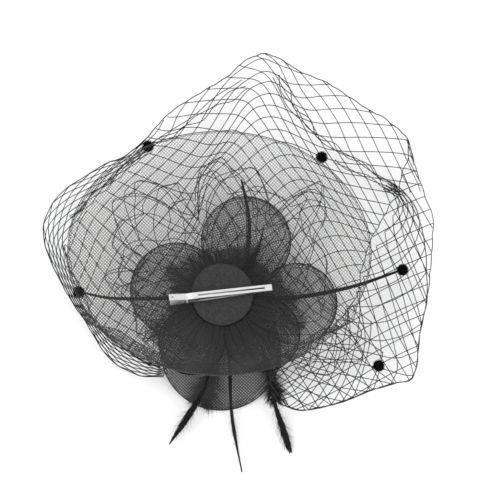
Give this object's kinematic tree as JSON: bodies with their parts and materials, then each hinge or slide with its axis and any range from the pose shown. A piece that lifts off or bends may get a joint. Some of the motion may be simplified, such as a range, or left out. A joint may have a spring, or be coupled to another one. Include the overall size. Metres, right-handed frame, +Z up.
{
  "type": "fascinator hat",
  "caption": "Mesh flower fascinator with a round brim, gathered veil, feathers, felt base and sprung fork clip, lying flower side down.",
  "frame": {"origin": "on the ground under the middle of the hat's box, with the hat lying flower side down on its petal rims", "axes": "+Z up out of the back of the hat, where the clip is, +Y along the longest side towards the wide top edge of the veil, +X towards the right long quill as seen from the clip's side"},
  "size_m": [0.2336, 0.246, 0.0614],
  "materials": {
    "crin": "fine open crinoline mesh with a slight sheen",
    "felt": "matt pressed felt",
    "net": "knotted veil net of fine twisted thread",
    "chenille": "fuzzy chenille",
    "feather": "feather vane with a soft sheen",
    "steel": "bright nickel-plated spring steel"
  },
  "bodies": {
    "hat": {"felt_base": "felt", "brim_disc": "crin", "flower_core": "crin", "petal_top": "crin", "petal_left": "crin", "petal_right": "crin", "petal_lower_left": "crin", "petal_lower_right": "crin", "petal_bottom": "crin", "hackle_pad": "feather", "veil_outer": "net", "veil_ruffle": "net", "veil_dot_1": "chenille", "veil_dot_2": "chenille", "veil_dot_3": "chenille", "veil_dot_4": "chenille", "veil_dot_5": "chenille", "quill_left": "feather", "quill_right": "feather", "quill_top": "feather", "feather_top_small": "feather", "feather_lower_left": "feather", "feather_lower_centre": "feather", "feather_lower_right": "feather", "clip_jaw": "steel", "clip_pin": "steel"},
    "clip_lever": {"clip_arm": "steel"}
  },
  "joints": [
    {"name": "clip_hinge", "type": "hinge", "parent": "hat", "child": "clip_lever", "pos_m": [-0.02978, -0.01668, 0.05553], "axis": [0.124, -0.9051, 0.4067], "range_deg": [0, 22], "stiffness_Nm_per_rad": 0.05, "springref_deg": -17.19}
  ]
}
